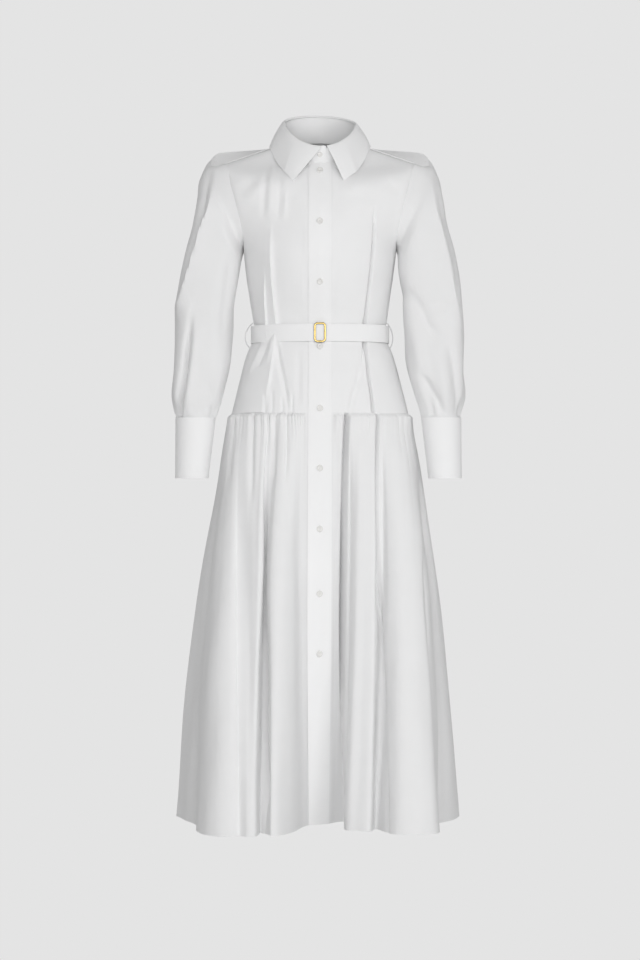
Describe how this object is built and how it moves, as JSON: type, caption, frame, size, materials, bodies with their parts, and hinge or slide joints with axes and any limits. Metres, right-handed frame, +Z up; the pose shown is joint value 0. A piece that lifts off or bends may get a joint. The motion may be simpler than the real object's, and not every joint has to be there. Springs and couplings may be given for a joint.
{
  "type": "shirt dress",
  "caption": "Long-sleeved shirt dress with a collar, button band, shoulder tabs, deep cuffs, buckled belt and a gathered dropped-waist skirt, hollow as worn.",
  "frame": {"origin": "middle of the neck opening, level with the high points of the shoulders, where the wearer's shoulders hold the dress", "axes": "+Z up, the front faces -Y, +X towards the wearer's left"},
  "size_m": [0.5512, 0.5836, 1.3224],
  "materials": {
    "cotton": "white cotton poplin, matt with a faint sheen",
    "button": "glossy off-white",
    "brass": "polished light gold"
  },
  "bodies": {
    "root": {"front_left": "cotton", "front_right": "cotton", "back": "cotton", "sleeve_left": "cotton", "sleeve_right": "cotton", "cuff_left": "cotton", "cuff_right": "cotton", "collar_stand": "cotton", "collar_leaf": "cotton", "button_band": "cotton", "skirt_front_left": "cotton", "skirt_front_right": "cotton", "skirt_back": "cotton", "belt": "cotton", "belt_loop_left": "cotton", "belt_loop_right": "cotton", "shoulder_tab_left": "cotton", "shoulder_tab_right": "cotton", "buckle": "brass", "stand_button": "button", "front_button_1": "button", "front_button_2": "button", "front_button_3": "button", "front_button_4": "button", "front_button_5": "button", "front_button_6": "button", "front_button_7": "button", "front_button_8": "button", "front_button_9": "button", "cuff_button_left_1": "button", "cuff_button_left_2": "button", "cuff_button_right_1": "button", "cuff_button_right_2": "button", "tab_button_left": "button", "tab_button_right": "button"}
  },
  "joints": []
}
